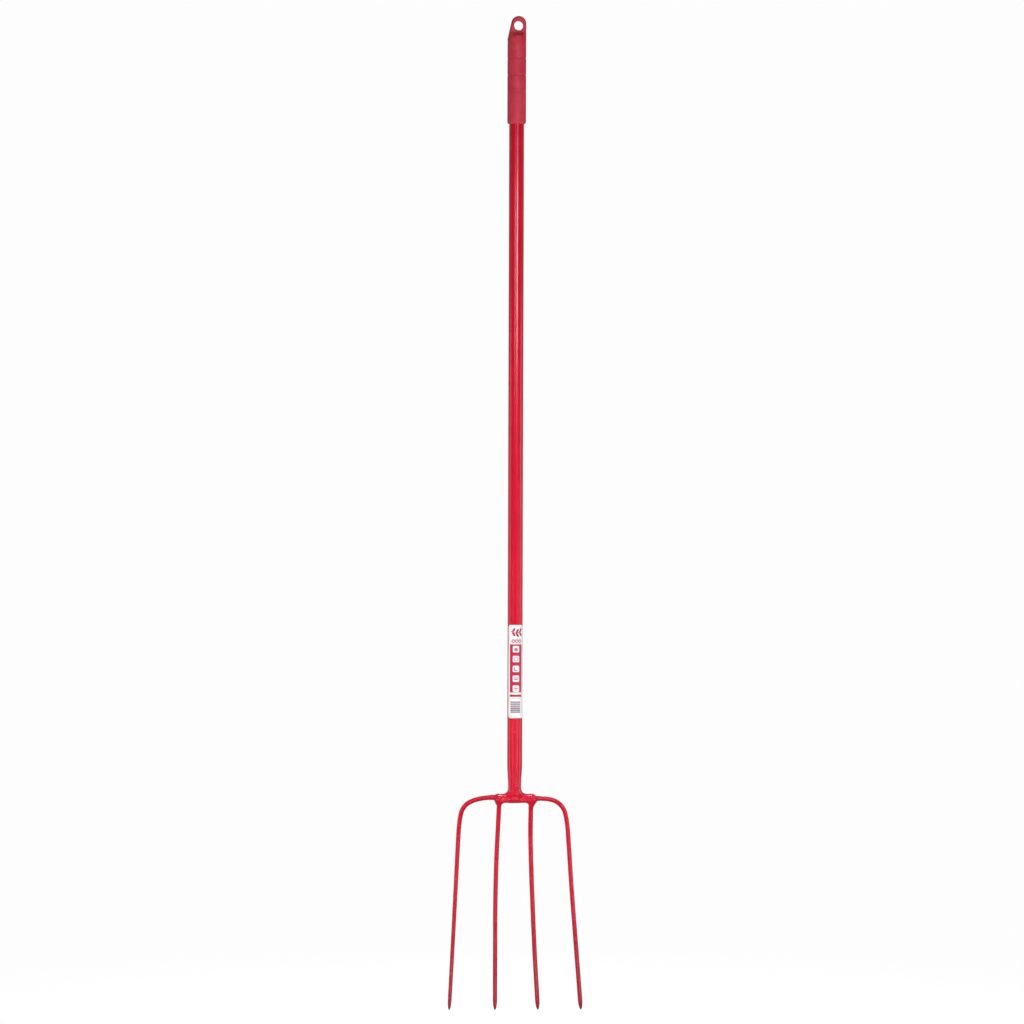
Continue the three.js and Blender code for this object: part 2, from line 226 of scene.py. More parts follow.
def dish_at(height):
    """How far forward a tine has come: back along the root's slope, forward with the square."""
    down = np.maximum(0, BAR_BOTTOM - height)
    return ROOT_SLOPE * down + DISH * down * down / BAR_BOTTOM


def smooth_route(points, steps):
    """A centripetal Catmull-Rom curve through the points, sampled evenly along its length.

    Knots are spaced by the square root of each chord, and the ends are carried on by one chord."""
    p = np.vstack([2 * points[0] - points[1], points, 2 * points[-1] - points[-2]])
    knot = np.sqrt(np.linalg.norm(np.diff(p, axis=0), axis=1))[:, None]
    t = np.linspace(0, 1, 40)[:, None]
    spans = []
    for i in range(len(points) - 1):
        a, b, c, d = p[i:i + 4]
        ka, kb, kc = knot[i:i + 3]
        leave = kb * ((b - a) / ka - (c - a) / (ka + kb) + (c - b) / kb)
        arrive = kb * ((c - b) / kb - (d - b) / (kb + kc) + (d - c) / kc)
        cubic = 2 * b - 2 * c + leave + arrive
        square = 3 * c - 3 * b - 2 * leave - arrive
        spans.append(b + leave * t + square * t ** 2 + cubic * t ** 3)
    fine = np.vstack([s[:-1] for s in spans] + [points[-1:]])
    along = np.concatenate([[0], np.cumsum(np.linalg.norm(np.diff(fine, axis=0), axis=1))])
    wanted = along[-1] * np.asarray(steps)
    return np.stack([np.interp(wanted, along, fine[:, k]) for k in range(3)], axis=1), along[-1]


# ---- Meshes ----

def grid_quads(rows, columns, closed=True, start=0):
    """Corner numbers of a grid's quads, row after row. A closed grid joins last column to first."""
    row = np.arange(rows - 1)[:, None] * columns
    column = np.arange(columns if closed else columns - 1)
    after = (column + 1) % columns
    corners = [row + column, row + after, row + columns + after, row + columns + column]
    return (start + np.stack(corners, axis=-1).reshape(-1, 4)).tolist()


def fan(ring, centre):
    """Triangles from a closed ring of corner numbers to one centre corner."""
    return [(a, b, centre) for a, b in zip(ring, [*ring[1:], ring[0]])]


def capped(grid):
    """Points and faces of a closed-round grid (rows, columns, 3), each end shut by a centre point."""
    rows, columns = grid.shape[:2]
    points = np.vstack([grid.reshape(-1, 3), grid[0].mean(axis=0), grid[-1].mean(axis=0)])
    first, last = list(range(columns)), list(range((rows - 1) * columns, rows * columns))
    faces = grid_quads(rows, columns) + fan(first, rows * columns) + fan(last, rows * columns + 1)
    return points, faces


def turned(profile, sides):
    """A profile of (radius, height) rows turned round the shaft's axis, as a grid of points."""
    radius, height = np.asarray(profile, float).T
    turn = np.arange(sides) * 2 * pi / sides
    x, y = np.outer(radius, np.sin(turn)), np.outer(radius, -np.cos(turn))
    return np.stack([x, y, np.repeat(height[:, None], sides, axis=1)], axis=-1)


def make_piece(name, points, faces, finish, slot, nodes, sharp=40.0, weld=1e-6):
    """A finished piece: doubles merged, faces turned outwards, creases over `sharp` degrees kept."""
    mesh = bpy.data.meshes.new(name)
    mesh.from_pydata(placed(points).tolist(), [], faces)
    shape = bmesh.new()
    shape.from_mesh(mesh)
    bmesh.ops.remove_doubles(shape, verts=shape.verts, dist=weld)
    bmesh.ops.recalc_face_normals(shape, faces=shape.faces)
    shape.to_mesh(mesh)
    shape.free()
    mesh.polygons.foreach_set("use_smooth", np.ones(len(mesh.polygons), bool))
    mesh.set_sharp_from_angle(angle=radians(sharp))
    mesh.materials.append(finish)
    piece = bpy.data.objects.new(name, mesh)
    bpy.context.scene.collection.objects.link(piece)
    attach(piece, "root")
    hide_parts(*nodes)
    return piece


# ---- Finishes ----

def colour(code):
    """A #RRGGBB screen colour as linear light."""
    share = np.array([int(code[i:i + 2], 16) for i in (1, 3, 5)]) / 255
    linear = np.where(share > 0.04045, ((share + 0.055) / 1.055) ** 2.4, share / 12.92)
    return (*linear.tolist(), 1.0)


def add_node(tree, kind, inputs=(), **settings):
    """A shader node with its settings, and its inputs as values or as links from other sockets."""
    node = tree.nodes.new(kind)
    for key, value in settings.items():
        setattr(node, key, value)
    for key, value in dict(inputs).items():
        if isinstance(value, bpy.types.NodeSocket):
            tree.links.new(value, node.inputs[key])
        else:
            node.inputs[key].default_value = value
    return node


def new_finish(name, **plain):
    """A material with one shader, whose uniform values are set straight on its sockets."""
    finish = bpy.data.materials.new(name)
    finish.use_nodes = True
    shader = finish.node_tree.nodes["Principled BSDF"]
    for key, value in plain.items():
        shader.inputs[key.replace("_", " ")].default_value = value
    return finish, finish.node_tree, shader


def noise(tree, where, scale, detail=2.0, roughness=0.5):
    """Cloudy noise, `scale` cells to the metre."""
    inputs = {"Vector": where, "Scale": scale, "Detail": detail, "Roughness": roughness}
    return add_node(tree, "ShaderNodeTexNoise", inputs).outputs["Fac"]


def spread(tree, value, low, high, start=0.3, end=0.7):
    """A value between `start` and `end` carried to `low`..`high` with a smooth step."""
    inputs = {"Value": value, "From Min": start, "From Max": end, "To Min": low, "To Max": high}
    node = add_node(tree, "ShaderNodeMapRange", inputs, interpolation_type="SMOOTHSTEP")
    return node.outputs["Result"]


def blend_colours(tree, share, a, b):
    """Colour a where the share is 0 and b where it is 1."""
    mix = add_node(tree, "ShaderNodeMix", data_type="RGBA")
    for key, value in ((0, share), (6, a), (7, b)):
        if isinstance(value, bpy.types.NodeSocket):
            tree.links.new(value, mix.inputs[key])
        else:
            mix.inputs[key].default_value = value
    return mix.outputs[2]


def bump(tree, height, depth, strength, under=None):
    """Relief `depth` metres high, on top of another relief if there is one."""
    inputs = {"Height": height, "Distance": depth, "Strength": strength}
    if under is not None:
        inputs["Normal"] = under
    return add_node(tree, "ShaderNodeBump", inputs).outputs["Normal"]


def object_place(tree):
    """A place on the piece, in metres from the frame's origin."""
    return add_node(tree, "ShaderNodeTexCoord").outputs["Object"]


def paint_finish(name, base, gloss, relief, coat, worn_and_shaded_tips=False):
    """Thick dipped paint: a faint cloudiness, orange-peel relief and uneven gloss. On the tines the
    paint is darkened towards the tips over the last 300 mm as painted shade, for light falling off
    there, and the tips show worn, dull steel where the distance from the tip is small."""
    finish, tree, shader = new_finish(name, Coat_Weight=coat, Coat_Roughness=0.1, IOR=1.5)
    where = object_place(tree)
    cloud = noise(tree, where, 28.0, 3.0)
    shade = blend_colours(tree, spread(tree, cloud, 0.0, 1.0), colour(base[0]), colour(base[1]))
    rough = spread(tree, noise(tree, where, 90.0, 3.0), gloss[0], gloss[1])
    peel = bump(tree, noise(tree, where, 520.0, 2.0), 0.00025, relief)
    drips = bump(tree, noise(tree, where, 110.0, 1.0), 0.0008, relief, peel)
    if worn_and_shaded_tips:
        along = add_node(tree, "ShaderNodeAttribute", attribute_name="from_tip").outputs["Fac"]
        ragged = add_node(tree, "ShaderNodeMath", {0: noise(tree, where, 260.0, 4.0), 1: 9.0, 2: -4.5},
                          operation="MULTIPLY_ADD").outputs[0]
        edge = add_node(tree, "ShaderNodeMath", {0: along, 1: ragged}, operation="ADD").outputs[0]
        # painted shade over the last 300 mm towards the tips; the dull steel laid on below is real wear
        tip_shade = spread(tree, along, 1.0, 0.0, -120.0, 300.0)
        shade = blend_colours(tree, tip_shade, shade, colour(TIP_SHADE_RED))
        worn = spread(tree, edge, 1.0, 0.0, 2.0, 6.0)
        shade = blend_colours(tree, worn, shade, colour(TIP_STEEL))
        rough = spread(tree, worn, 0.34, 0.55, 0.0, 1.0)
    tree.links.new(shade, shader.inputs["Base Color"])
    tree.links.new(rough, shader.inputs["Roughness"])
    tree.links.new(drips, shader.inputs["Normal"])
    return finish


def plastic_finish():
    """Moulded plastic: a dull skin with fine grain, a little cloudiness and rubbed, duller patches."""
    finish, tree, shader = new_finish("moulded_grip_plastic", IOR=1.48)
    where = object_place(tree)
    cloud = noise(tree, where, 45.0, 4.0, 0.6)
    shade = blend_colours(tree, spread(tree, cloud, 0.0, 1.0), colour("#C82D43"), colour("#D43F53"))
    rough = spread(tree, noise(tree, where, 160.0, 4.0), 0.42, 0.58)
    stretched = add_node(tree, "ShaderNodeMapping", {"Vector": where, "Scale": (1.0, 1.0, 0.12)})
    flow = bump(tree, noise(tree, stretched.outputs[0], 700.0, 3.0), 0.00012, 0.25)
    grain = bump(tree, noise(tree, where, 2600.0, 2.0), 0.00010, 0.35, flow)
    tree.links.new(shade, shader.inputs["Base Color"])
    tree.links.new(rough, shader.inputs["Roughness"])
    tree.links.new(grain, shader.inputs["Normal"])
    return finish


def film_finish():
    """Printed film: the inks come from the piece's own colours, with a faintly rippled clear top."""
    finish, tree, shader = new_finish("label_film", Coat_Weight=0.3, Coat_Roughness=0.15, IOR=1.45)
    inks = add_node(tree, "ShaderNodeAttribute", attribute_name="ink").outputs["Color"]
    where = object_place(tree)
    fibre = spread(tree, noise(tree, where, 900.0, 3.0), 0.97, 1.0)
    faded = add_node(tree, "ShaderNodeVectorMath", {0: inks, "Scale": fibre}, operation="SCALE")
    rough = spread(tree, noise(tree, where, 120.0, 3.0), 0.3, 0.42)
    ripple = bump(tree, noise(tree, where, 80.0, 2.0), 0.0003, 0.15)
    tree.links.new(faded.outputs[0], shader.inputs["Base Color"])
    tree.links.new(rough, shader.inputs["Roughness"])
    tree.links.new(ripple, shader.inputs["Normal"])
    return finish


def steel_finish():
    """Bare drawn steel, with fine scratches along Z."""
    finish, tree, shader = new_finish("bare_steel", Metallic=1.0)
    where = object_place(tree)
    stretched = add_node(tree, "ShaderNodeMapping", {"Vector": where, "Scale": (1.0, 1.0, 0.03)})
    lines = noise(tree, stretched.outputs[0], 1800.0, 3.0)
    shade = blend_colours(tree, spread(tree, lines, 0.0, 1.0), colour("#7D7C7E"), colour("#A3A2A4"))
    tree.links.new(shade, shader.inputs["Base Color"])
    tree.links.new(spread(tree, lines, 0.28, 0.45), shader.inputs["Roughness"])
    tree.links.new(bump(tree, lines, 0.0001, 0.3), shader.inputs["Normal"])
    return finish


TUBE_PAINT = paint_finish("shaft_paint", ("#C8062A", "#D20C2E"), (0.19, 0.25), 0.10, 0.3)
HEAD_PAINT = paint_finish("head_paint", ("#C4062A", "#D40E30"), (0.20, 0.28), 0.14, 1.0)
TINE_PAINT = paint_finish("tine_paint", ("#C20A2A", "#CE1230"), (0.26, 0.36), 0.2, 0.3, worn_and_shaded_tips=True)
WELD_PAINT = paint_finish("weld_paint", ("#BE0628", "#D01030"), (0.24, 0.34), 0.3, 0.8)
GRIP_PLASTIC = plastic_finish()
LABEL_PRINT = film_finish()
BARE_STEEL = steel_finish()


# ---- Shaft ----

def tube_radius(height):
    """Outer radius: the neck's, then half a cosine wave out to the tube's."""
    return NECK_RADIUS + (TUBE_RADIUS - NECK_RADIUS) * ease(height, NECK_STRAIGHT, NECK_TOP)


def shaft_tube():
    """A tube with its wall: up the outside, over the top, down the inside and back round.

    The swaged neck was dressed by hand, so its radius wavers by a tenth of a millimetre there."""
    low, high = height_of(tube_low.z), height_of(tube_high.z)
    neck = np.linspace(low + EDGE_BREAK, NECK_TOP + 12, 120)
    plain = np.linspace(NECK_TOP + 14, high - EDGE_BREAK, 90)
    heights = np.concatenate([neck, plain])
    outer = np.stack([tube_radius(heights), heights], axis=1)
    inner = np.stack([tube_radius(heights[::-1]) - TUBE_WALL, heights[::-1]], axis=1)
    top = [(TUBE_RADIUS - EDGE_BREAK, high), (TUBE_RADIUS - TUBE_WALL + EDGE_BREAK, high)]
    foot = [(NECK_RADIUS - TUBE_WALL + EDGE_BREAK, low), (NECK_RADIUS - EDGE_BREAK, low)]
    grid = turned([*outer, *top, *inner, *foot], TUBE_SIDES)
    height = grid[:len(heights), :, 2]
    turn = np.arange(TUBE_SIDES)[None, :] * 2 * pi / TUBE_SIDES
    ripple = waviness(3 * np.cos(turn) + 0 * height, 3 * np.sin(turn) + height * 0.22, 4)
    dressed = 1 + 0.009 * ripple * (1 - ease(height, NECK_STRAIGHT + 20, NECK_TOP))
    grid[:len(heights), :, :2] *= dressed[..., None]
    closed = np.concatenate([grid, grid[:1]])
    faces = grid_quads(len(closed), TUBE_SIDES)
    make_piece("shaft", closed.reshape(-1, 3), faces, TUBE_PAINT, "red_paint", ["shaft_tube"])


def rivet():
    """A pin along Y through the neck of the tube, with a shallow dome on each end."""
    low, high = extent("tang_rivet")
    middle = (low[2] + high[2]) / 2
    head, rise = high[0], high[1] - TUBE_RADIUS
    swell = np.linspace(pi / 2, 0.05, 12)
    dome = np.stack([head * np.sin(swell), TUBE_RADIUS - 0.25 + (rise + 0.25) * np.cos(swell)], axis=1)
    seat = TUBE_RADIUS - 0.3
    half = np.vstack([[(PIN_RADIUS, 0.0), (PIN_RADIUS, seat), (head - 0.1, seat)], dome])
    profile = np.vstack([(half * (1, -1))[::-1], half[1:]])
    upright = turned(profile, 40)
    lying = upright[..., [0, 2, 1]] + (0, 0, middle)
    make_piece("rivet", *capped(lying), HEAD_PAINT, "red_paint", ["tang_rivet"])


# ---- Grip ----

def sleeve_profile():
    """(radius, height) rows from the closed top of the bore down, round the lip and up to the seam.

    The lip is a quarter of an ellipse, and each ring groove is a cosine dip in the outside."""
    lip_start = GRIP_BORE + 0.8
    swing = np.linspace(0, pi / 2, 14)
    lip = np.stack([lip_start + (GRIP_RADIUS - lip_start) * np.sin(swing),
                    GRIP_BOTTOM + GRIP_LIP * (1 - np.cos(swing))], axis=1)
    heights = np.linspace(GRIP_BOTTOM + GRIP_LIP + 0.5, SEAM, 280)
    centres = GROOVE_TOP - GROOVE_PITCH * np.arange(len(GROOVE_DEPTHS))
    off = np.minimum(np.abs(heights[:, None] - centres) / GROOVE_HALF_WIDTH, 1)
    dip = (GROOVE_DEPTHS * (1 + np.cos(pi * off)) / 2).sum(axis=1)
    outside = np.stack([GRIP_RADIUS - dip, heights], axis=1)
    bore_top = [(0.05, GRIP_BORE_TOP), (GRIP_BORE, GRIP_BORE_TOP)]
    bore = [(GRIP_BORE, GRIP_BOTTOM + 1.0), (GRIP_BORE + 0.4, GRIP_BOTTOM)]
    return np.vstack([bore_top, bore, lip, outside])


def eye_outline(turns):
    """Front view of the eye end, as points all round: across the seam on the sleeve's own columns,
    up the right side, over the round crown, and down the slanting left shoulder."""
    crown_x, crown_z = GRIP_RADIUS - CROWN_RADIUS, GRIP_TOP - CROWN_RADIUS
    across = np.stack([GRIP_RADIUS * np.sin(turns), np.full(len(turns), SEAM)], axis=1)
    right = np.stack([np.full(26, GRIP_RADIUS), np.linspace(SEAM, crown_z, 28)[1:-1]], axis=1)
    sweep = np.linspace(0, pi - EYE_SLANT, 60)
    crown = np.stack([crown_x + CROWN_RADIUS * np.cos(sweep), crown_z + CROWN_RADIUS * np.sin(sweep)], 1)
    shoulder_z = crown[-1, 1] - (crown[-1, 0] + GRIP_RADIUS) / tan(EYE_SLANT)
    slant = np.linspace(crown[-1], (-GRIP_RADIUS, shoulder_z), 30)[1:]
    left = np.linspace((-GRIP_RADIUS, shoulder_z), (-GRIP_RADIUS, SEAM), 6)[1:-1]
    return np.vstack([across, right, crown, slant, left])


def eye_half_thickness(x, height, outline):
    """Half the eye end's thickness: a quarter ellipse in from the outline, full inside it. Up the
    ramp the sleeve's radius eases to the flat tab's half thickness and its edge rounding."""
    share = ease(height, RAMP_BOTTOM, RAMP_TOP)
    full = GRIP_RADIUS + (TAB_HALF - GRIP_RADIUS) * share
    edge = GRIP_RADIUS + (TAB_EDGE - GRIP_RADIUS) * share
    spots = np.stack([x, height], axis=-1)[..., None, :]
    inwards = np.linalg.norm(spots - outline, axis=-1).min(axis=-1)
    inwards = np.where(inwards < 0.02, 0, inwards)
    return full * np.sqrt(np.maximum(0, 1 - (1 - np.minimum(inwards / edge, 1)) ** 2))


def eye_end(turns):
    """One half of the eye end on rays from the eye's centre: up the hole's wall, round its rim in a
    quarter circle, and out over the face to the outline."""
    outline = eye_outline(turns)
    below = [np.linspace((x, SEAM), (x, SEAM - 30), 60) for x in (-GRIP_RADIUS, GRIP_RADIUS)]
    sides = np.vstack([outline[len(turns):], *below])
    dense = np.vstack([np.linspace(a, b, 8) for a, b in zip(sides[:-1], sides[1:])
                       if np.linalg.norm(a - b) < 3])
    ray = outline - (EYE_X, EYE_HEIGHT)
    reach = np.linalg.norm(ray, axis=1)
    ray = ray / reach[:, None]
    swing = np.linspace(0, pi / 2, 10)
    out = np.sin(np.linspace(0, pi / 2, 34))[1:]
    rim = EYE_RADIUS + EYE_RIM * (1 - np.cos(swing))
    face = (EYE_RADIUS + EYE_RIM) + np.outer(out, reach - EYE_RADIUS - EYE_RIM)
    columns = len(outline)
    away = np.vstack([np.full((5, columns), EYE_RADIUS), np.repeat(rim[:, None], columns, 1), face])
    x, height = EYE_X + away * ray[:, 0], EYE_HEIGHT + away * ray[:, 1]
    thick = eye_half_thickness(x, height, dense)
    thick[:5] = np.linspace(0, 1, 6)[:5, None] * (thick[5] - EYE_RIM)
    thick[5:15] -= EYE_RIM * (1 - np.sin(swing))[:, None]
    across = len(turns)
    thick[-1, :across] = GRIP_RADIUS * np.cos(turns)
    thick[-1, across:] = 0
    return np.stack([x, thick, height], axis=-1)


def grip():
    """Sleeve and eye end welded into one skin along the seam's shared points."""
    sleeve = turned(sleeve_profile(), GRIP_SIDES)
    turns = (np.arange(GRIP_SIDES // 2 + 1) - GRIP_SIDES / 4) * 2 * pi / GRIP_SIDES
    back = eye_end(turns)
    front = back * (1, -1, 1)
    points = [sleeve.reshape(-1, 3), front.reshape(-1, 3), back.reshape(-1, 3)]
    faces = grid_quads(len(sleeve), GRIP_SIDES) + [tuple(range(GRIP_SIDES))]
    for k, half in enumerate((front, back)):
        start = len(points[0]) + k * len(points[1])
        faces += grid_quads(*half.shape[:2], start=start)
    make_piece("grip_moulding", np.vstack(points), faces, GRIP_PLASTIC, "grip_plastic", ["grip"],
               sharp=50)


# ---- Label ----

def tile_marks(u, v, radius):
    """Five plain marks, one to a tile: a drop, a ring, a crescent, a pair of bars and a cross."""
    away = np.hypot(u, v)
    bulb = np.hypot(u, v + 0.8) - 0.55 * radius
    drop = np.minimum(bulb, np.maximum(np.abs(u) * 1.6 + v - 2.2, -v - 0.8))
    ring = np.abs(away - 0.62 * radius) - 0.55
    bite = 0.6 * radius - np.hypot(u - 1.1, v - 1.1)
    crescent = np.maximum(np.hypot(u + 0.3, v + 0.3) - 0.68 * radius, bite)
    bars = np.abs(np.abs(v) - 1.3) - 0.6 + 10 * np.maximum(0, np.abs(u) - 0.7 * radius)
    cross = np.minimum(np.maximum(np.abs(u) - 0.55, np.abs(v) - 0.7 * radius),
                       np.maximum(np.abs(v) - 0.55, np.abs(u) - 0.7 * radius))
    return [drop, ring, crescent, bars, cross]


def sprig(u, v):
    """A plain sprig: an arched stem with three pairs of leaves, each leaf a slim turned ellipse."""
    shape = np.maximum(np.abs(v + 1.5 - 0.05 * u * u) - 0.45, np.abs(u) - 7.0)
    for place in (-4.6, 0.0, 4.6):
        for side in (1, -1):
            lean = radians(58) * side
            x = u - place - 1.6
            y = v + 1.5 - 0.05 * place ** 2 - side * 2.6
            along, off = x * cos(lean) + y * sin(lean), -x * sin(lean) + y * cos(lean)
            shape = np.minimum(shape, (np.hypot(along / 3.1, off / 1.35) - 1) * 1.35)
    return shape


def label_inks(u, v):
    """Ink at a place on the label: `u` millimetres round from its middle, `v` up from its foot."""
    def lay(under, shape, code, soft=0.16):
        """A new ink laid over the old where the distance to the shape is negative, softly edged."""
        share = np.clip(0.5 - shape / (2 * soft), 0, 1)[..., None]
        return under * (1 - share) + np.array(colour(code)) * share

    def box(cu, cv, hu, hv, rounding=0.3):
        """Distance to a box, from its centre and its half sizes."""
        return rounded_box(np.stack([u - cu, v - cv], axis=-1), (hu, hv), rounding)

    ink = np.broadcast_to(np.array(colour(PAPER)), (*u.shape, 4)).copy()
    larger = 1.3
    ink = lay(ink, larger * sprig(u / larger, (v - 140.9) / larger), SPRIG_RED)
    for place in (-5.6, 0.0, 5.6):
        diamond = np.abs(np.abs(u - place - 1.2) + np.abs(v - 125.6) - 2.8) - 1.15
        ink = lay(ink, diamond, CHAIN_ROSE)
    ink = lay(ink, box(0, 81.2, 10.7, 39.3, 0.8), PANEL_RED)
    tile, tile_pitch, top_tile = 5.3, 16.1, 112.6
    for k, mark_ink in enumerate((MARK_ROSE, MARK_ROSE, MARK_ROSE, MARK_RED, MARK_ROSE)):
        middle = top_tile - tile_pitch * k
        ink = lay(ink, box(0, middle, tile + 0.1, tile - 0.1, 1.9), PALE_PAPER)
        ink = lay(ink, tile_marks(u, v - middle, tile)[k], mark_ink)
    ink = lay(ink, box(0, 36.6, 10.7, 1.9), BAND_RED)
    ink = lay(ink, box(0, 31.8, 9.6, 0.45), PALE_GREY)
    stripes = 0.42 - np.sin(2.05 * v + 0.6) - 0.55 * np.sin(3.7 * v + 1.9)
    field = box(-0.9, 17.8, 8.3, 9.8)
    ink = lay(ink, field, FIELD_GREY)
    return lay(ink, np.maximum(field, 0.3 * stripes - 0.06), STRIPE_GREY)


def label():
    """A thin printed strip with rounded corners, bent round the tube. Its outer face carries the
    inks as a colour of its own, on a grid fine enough to hold them."""
    columns, rows = 112, 560
    height = LABEL_TOP - LABEL_BOTTOM
    u = np.linspace(-LABEL_WIDTH / 2, LABEL_WIDTH / 2, columns)[None, :].repeat(rows, 0)
    into = np.maximum(0, LABEL_CORNER - LABEL_WIDTH / 2 + np.abs(u))
    drop = LABEL_CORNER - np.sqrt(LABEL_CORNER ** 2 - into ** 2)
    share = np.linspace(0, 1, rows)[:, None]
    v = drop + share * (height - 2 * drop)
    middle = TUBE_RADIUS + LABEL_FILM / 2
    turn = LABEL_TURN + u / middle

    def skin(radius):
        """The strip's grid of points, bent round the shaft's axis at a radius."""
        return np.stack([radius * np.sin(turn), -radius * np.cos(turn), LABEL_BOTTOM + v], axis=-1)

    outer = skin(TUBE_RADIUS + LABEL_GAP + LABEL_FILM)
    inner = skin(TUBE_RADIUS + LABEL_GAP)[::rows - 1]
    edge = [np.arange(columns), (rows - 1) * columns + np.arange(columns)]
    left = (np.arange(rows) * columns).tolist()
    right = (np.arange(rows) * columns + columns - 1).tolist()
    under = rows * columns
    points = np.vstack([outer.reshape(-1, 3), inner.reshape(-1, 3)])
    faces = grid_quads(rows, columns, closed=False)
    faces += grid_quads(2, columns, closed=False, start=under)
    for k in (0, 1):
        a, b = edge[k], under + k * columns + np.arange(columns)
        faces += np.stack([a[:-1], a[1:], b[1:], b[:-1]], axis=1).tolist()
    faces.append((*left, under + columns, under))
    faces.append((*right, under + 2 * columns - 1, under + columns - 1))
    inks = np.vstack([label_inks(u, v).reshape(-1, 4), np.tile(colour(PAPER), (2 * columns, 1))])
    piece = make_piece("label_strip", points, faces, LABEL_PRINT, "label_film", ["label"], weld=1e-9)
    store = piece.data.color_attributes.new("ink", "FLOAT_COLOR", "POINT")
    store.data.foreach_set("color", inks.astype(np.float32).ravel())


# ---- Head ----

def slanted_rod(p, start, end, start_radius, end_radius):
    """Distance to a round-ended rod between two (X, height) points, its radius running evenly from
    one to the other. Front to back it is a fifth deeper than it is wide."""
    flat = p * (1, 0.82, 1)
    first, last = (np.array([x, 0, height]) for x, height in (start, end))
    way = last - first
    share = np.clip(((flat - first) @ way) / (way @ way), 0, 1)
    return np.linalg.norm(flat - first - share[..., None] * way, axis=-1) - (
        start_radius + (end_radius - start_radius) * share)


def head_field(p):
    """Distance from points p to the forged head: a rounded bar that flows softly into the neck above
    it, into the stubs of the arms and the inner tines, and into the web under its right end. On each
    side of the neck, a short stretch of the upper front edge is cut back to a plane that leans, by
    the larger of the two distances; `spared` keeps the rest of the head out of that cut."""
    middle_z = (BAR_TOP + BAR_BOTTOM) / 2
    centre = ((BAR_LEFT + BAR_RIGHT) / 2, 0, middle_z)
    halves = ((BAR_RIGHT - BAR_LEFT) / 2, BAR_DEPTH / 2, (BAR_TOP - BAR_BOTTOM) / 2)
    bar = rounded_box(p - centre, halves, BAR_ROUNDING)
    neck_foot = BAR_BOTTOM + 1.4
    below = np.minimum(p[..., 2] - neck_foot - 40, 0)
    neck = rounded_box(np.stack([np.hypot(p[..., 0], p[..., 1]), below], -1), (NECK_RADIUS, 40), 4.4)
    hollow = 4.4 + 6.6 * ease(p[..., 2], middle_z + 1, BAR_TOP + 1)
    shape = soft_min(bar, neck, hollow)
    left_root = slanted_rod(p, (-25.0, 340), (-25.4, 328), 4.3, 3.2)
    left_knob = slanted_rod(p, (-27.2, 338), (-26.6, 334.6), 5.3, 4.6)
    right_root = slanted_rod(p, (27.0, 340), (27.0, 326), 4.3, 3.3)
    web = slanted_rod(p, (34.2, 339), (28.6, 326.5), 2.6, 1.6)
    left_arm = slanted_rod(p, (-26, 342.6), (-40, 342.9), 4.4, 3.2)
    right_arm = slanted_rod(p, (28, 341.4), (43, 341.0), 4.4, 3.1)
    shape = soft_min(shape, soft_min(right_root, web, 3.0), 7.0)
    shape = soft_min(soft_min(shape, left_root, 7.0), left_knob, 1.6)
    shape = soft_min(shape, soft_min(left_arm, right_arm, 0.1), 3.4)
    flat = (p - (0, 0.3 - BAR_DEPTH / 2, BAR_TOP - 3.8)) @ FLAT_LEAN + 1.1 * ease(-p[..., 0], 15, 20)
    across, below_top = np.abs(p[..., 0]), BAR_TOP - p[..., 2]
    spared = 9 * (1 - ease(across, 12.5, 21)) + 2.2 * ease(across, 27.5, 34)
    spared = spared + 4 * ease(below_top, 3.0, 7.0) + 1.2 * (1 - ease(below_top, 0, 1.7))
    return -soft_min(-shape, spared - flat, 0.6)


def way_out(field, middle, way, far):
    """How far it is from the middle points, along the ways out, to where the field is zero: the
    interval is halved for every direction at once."""
    low = np.zeros(np.broadcast(middle[..., 0], way[..., 0]).shape)
    high = np.full(low.shape, far)
    for _ in range(30):
        half = (low + high) / 2
        inside = field(middle + half[..., None] * way) < 0
        low, high = np.where(inside, half, low), np.where(inside, high, half)
    return low


def yoke():
    """The bar's skin, found on ways out from its middle line at each place along X. It stops level
    with the top of the bar, where the neck's weld carries on."""
    rows, columns = 340, 128
    x = np.linspace(YOKE_LEFT, YOKE_RIGHT, rows)
    turn = np.arange(columns) * 2 * pi / columns
    middle_z = np.interp(x, (BAR_LEFT, -20, 20, BAR_RIGHT), (342.6, 341.2, 341.2, 341.2))
    middle = np.stack([x, 0 * x, middle_z], axis=1)[:, None, :]
    way = np.stack([0 * turn, np.sin(turn), np.cos(turn)], axis=1)[None]

    def below_neck(p):
        """The head's field, cut off level just over the top of the bar."""
        return np.maximum(head_field(p), p[..., 2] - BAR_TOP - 0.35)

    skin = way_out(below_neck, middle, way, 24.0)
    hammered = 1 + 0.006 * waviness(middle[..., 0] * 0.4 + np.cos(turn), 2 * np.sin(turn), 9, 2)
    make_piece("yoke", *capped(middle + (skin * hammered)[..., None] * way), HEAD_PAINT, "red_paint",
               ["crossbar"])


